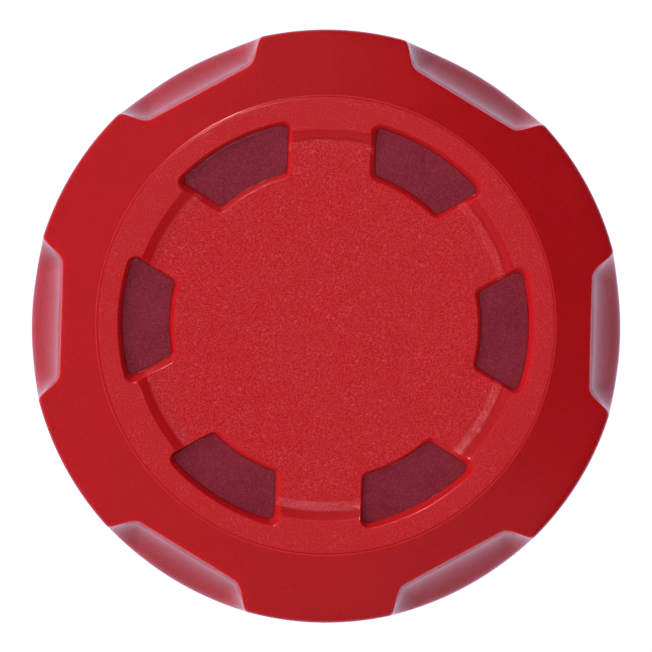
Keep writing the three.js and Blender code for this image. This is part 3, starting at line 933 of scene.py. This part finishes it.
def build_base_cap():
    b, sink = BASE, BASE_SINK
    inside = b["recess"] + 0.5
    disc = turned(
        rounded([
            (0, b["recess"]),
            (b["ring_inner"] - 1, b["recess"], 0.6),
            (b["ring_inner"], 0, 0.4),
            (b["radius"] - b["edge"], 0, 0.6),
            (b["radius"], b["edge"], 0.6),
            (b["radius"], b["height"], 0.3),
            (0, b["height"]),
        ]),
        even_angles(240),
    )
    foot, hub = b["foot"], b["hub"]
    ring = [(hub - 2, foot), (hub, foot), (hub, inside, 0), (hub - 2, inside, 0)]
    hub_ring = turned(rounded(ring, closed=True), even_angles(120), closed=True)

    def bar(inset):
        half = BASE_RIB_HALF - inset
        start, end = hub - 1, b["ring_inner"] + 0.5
        return [(start, -half), (end, -half), (end, half), (start, half)]

    rib = loft([(foot, bar(0.25)), (foot + 0.08, bar(0.1)), (foot + 0.3, bar(0)), (inside, bar(-0.1))])
    mesh = combine(disc.mesh("cap_disc"), [hub_ring, gathered(spun(rib, b["ribs"]))], "UNION", "cap_ribbed")
    cuts = [
        gathered(spun(round_hole(sink["radius"], sink["circle"], -1, sink["top"], sink["chamfer"]), COUNT)),
        gathered(spun(round_hole(sink["hole"], sink["circle"], -1, b["height"] + 1), COUNT)),
        round_hole(BUTTON_HOLE, 0, -1, b["height"] - 1),
    ]
    mesh = combine(mesh, cuts, "DIFFERENCE", "base_cap_moulded")
    return piece("base_cap_moulded", mesh, "drum", ["base_cap"], CAP_RED)


build_drum()
build_liner()
build_base_cap()
build_tyre("rear_tyre", TYRE["low"])
build_tyre("front_tyre", TYRE["high"])

KEPT = {
    "thrust_button": ACETAL,
    "seal_plug": LINER_RUBBER,
    "plug_ring": TYRE_RUBBER,
    "pressure_plate": STEEL,
    "slip_washer": ACETAL,
    "slip_ring": ACETAL,
    "swivel_stud": STEEL,
    "swivel_clip": STEEL,
}
KEPT.update({name: ZINC for name in nodes if name.startswith(("core_screw", "base_screw"))})
for name, material in KEPT.items():
    node = nodes[name]
    node.data.materials.clear()
    node.data.materials.append(material)
    bevel = node.modifiers.new("edges", "BEVEL")
    bevel.width = 0.15 * MM
    bevel.segments = 2
    bevel.limit_method = "ANGLE"
    bevel.angle_limit = math.radians(40)


# The stage: a pale floor, soft light mostly from the left, and a camera that looks almost straight down

def pale_floor():
    """A pale, faintly glowing floor, clear from below so that it doesn't hide the underside."""
    n = Nodes("pale_floor")
    colour = n.mix(n.ramp(n.noise(6, 2), 0.3, 0.7), (0.13, 0.13, 0.15), (0.15, 0.15, 0.17))
    glow = (0.97, 0.97, 1.28, 1)
    material = n.finish(
        colour,
        Roughness=0.9,
        Specular_IOR_Level=0.1,
        Emission_Color=glow,
        Emission_Strength=1.0,
    )
    one_sided = n.tree.nodes.new("ShaderNodeMixShader")
    n.link(n.tree.nodes.new("ShaderNodeNewGeometry").outputs["Backfacing"], one_sided.inputs[0])
    n.link(n.shader.outputs[0], one_sided.inputs[1])
    n.link(n.tree.nodes.new("ShaderNodeBsdfTransparent").outputs[0], one_sided.inputs[2])
    n.link(one_sided.outputs[0], n.tree.nodes["Material Output"].inputs["Surface"])
    return material


WORLD_STRENGTH = 0.5


def studio_world():
    """Dim light from the left, front and back, and hardly any from the right or from straight above."""
    world = bpy.data.worlds.new("studio")
    world.use_nodes = True
    tree = world.node_tree
    direction = tree.nodes.new("ShaderNodeTexCoord").outputs["Generated"]

    def fade(toward, low, high, strength):
        """Strength that falls to a share of itself towards a direction."""
        along = tree.nodes.new("ShaderNodeVectorMath")
        along.operation = "DOT_PRODUCT"
        along.inputs[1].default_value = toward
        tree.links.new(direction, along.inputs[0])
        node = tree.nodes.new("ShaderNodeMapRange")
        node.interpolation_type = "SMOOTHSTEP"
        for key, number in (("From Min", low), ("From Max", high), ("To Min", 1), ("To Max", strength)):
            node.inputs[key].default_value = number
        tree.links.new(along.outputs["Value"], node.inputs["Value"])
        return node.outputs["Result"]

    product = tree.nodes.new("ShaderNodeMath")
    product.operation = "MULTIPLY"
    to_the_right, overhead = (0.94, 0.34, 0), (0, 0, 1)
    tree.links.new(fade(to_the_right, 0.12, 0.50, 0.25), product.inputs[0])
    tree.links.new(fade(overhead, 0.93, 0.985, 0.25), product.inputs[1])
    level = tree.nodes.new("ShaderNodeMath")
    level.operation = "MULTIPLY"
    level.inputs[1].default_value = WORLD_STRENGTH
    tree.links.new(product.outputs["Value"], level.inputs[0])
    tree.links.new(level.outputs["Value"], tree.nodes["Background"].inputs["Strength"])
    tree.nodes["Background"].inputs["Color"].default_value = (1, 1, 1, 1)
    return world


def area_light(name, place, target, size, power, colour=(1, 1, 1)):
    light = bpy.data.lights.new(name, "AREA")
    light.shape = "DISK"
    light.size = size
    light.energy = power
    light.color = colour
    obj = bpy.data.objects.new(name, light)
    bpy.context.scene.collection.objects.link(obj)
    obj.location = place
    obj.rotation_euler = (Vector(target) - Vector(place)).to_track_quat("-Z", "Y").to_euler()
    return obj


FLOOR_LEVEL = -0.1 * MM  # just under the base, so that the two don't coincide
FLOOR_HALF = 6
floor_mesh = bpy.data.meshes.new("floor")
corners = [(FLOOR_HALF * x, FLOOR_HALF * y, FLOOR_LEVEL) for x, y in ((-1, -1), (1, -1), (1, 1), (-1, 1))]
floor_mesh.from_pydata(corners, [], [(0, 1, 2, 3)])
floor_mesh.materials.append(pale_floor())
floor = bpy.data.objects.new("floor", floor_mesh)
bpy.context.scene.collection.objects.link(floor)

bpy.context.scene.world = studio_world()
bpy.context.scene.view_settings.view_transform = "Standard"

face = (0, 0, LID_TOP * MM)
key = area_light("key", (-1.30, 0.28, 0.88), face, size=1.3, power=14.1)
fill = area_light("fill", (0.58, -1.24, 0.42), face, size=0.6, power=3.4)
for light in (key, fill):
    light.visible_glossy = False
area_light("near_camera", (-0.36, 0.70, 2.385), face, size=0.2, power=18, colour=(1, 0.5, 0.6))

DISTANCE = 1.5
FRAME_WIDTH = 0.12065  # the width of the view at the lid, in metres
SENSOR = 36
TILT = math.radians(1.75)
ROLL = math.radians(1.5)
camera_data = bpy.data.cameras.new("camera")
camera_data.sensor_width = SENSOR
camera_data.lens = SENSOR * DISTANCE / FRAME_WIDTH
camera = bpy.data.objects.new("camera", camera_data)
bpy.context.scene.collection.objects.link(camera)
aim = Vector((0, -0.08, LID_TOP - 3)) * MM
turn = Matrix.Rotation(ROLL, 4, "Z") @ Matrix.Rotation(TILT, 4, "X")
camera.matrix_world = Matrix.Translation(aim) @ turn @ Matrix.Translation((0, 0, DISTANCE))
camera_data.clip_end = 20
bpy.context.scene.camera = camera

bpy.context.view_layer.update()
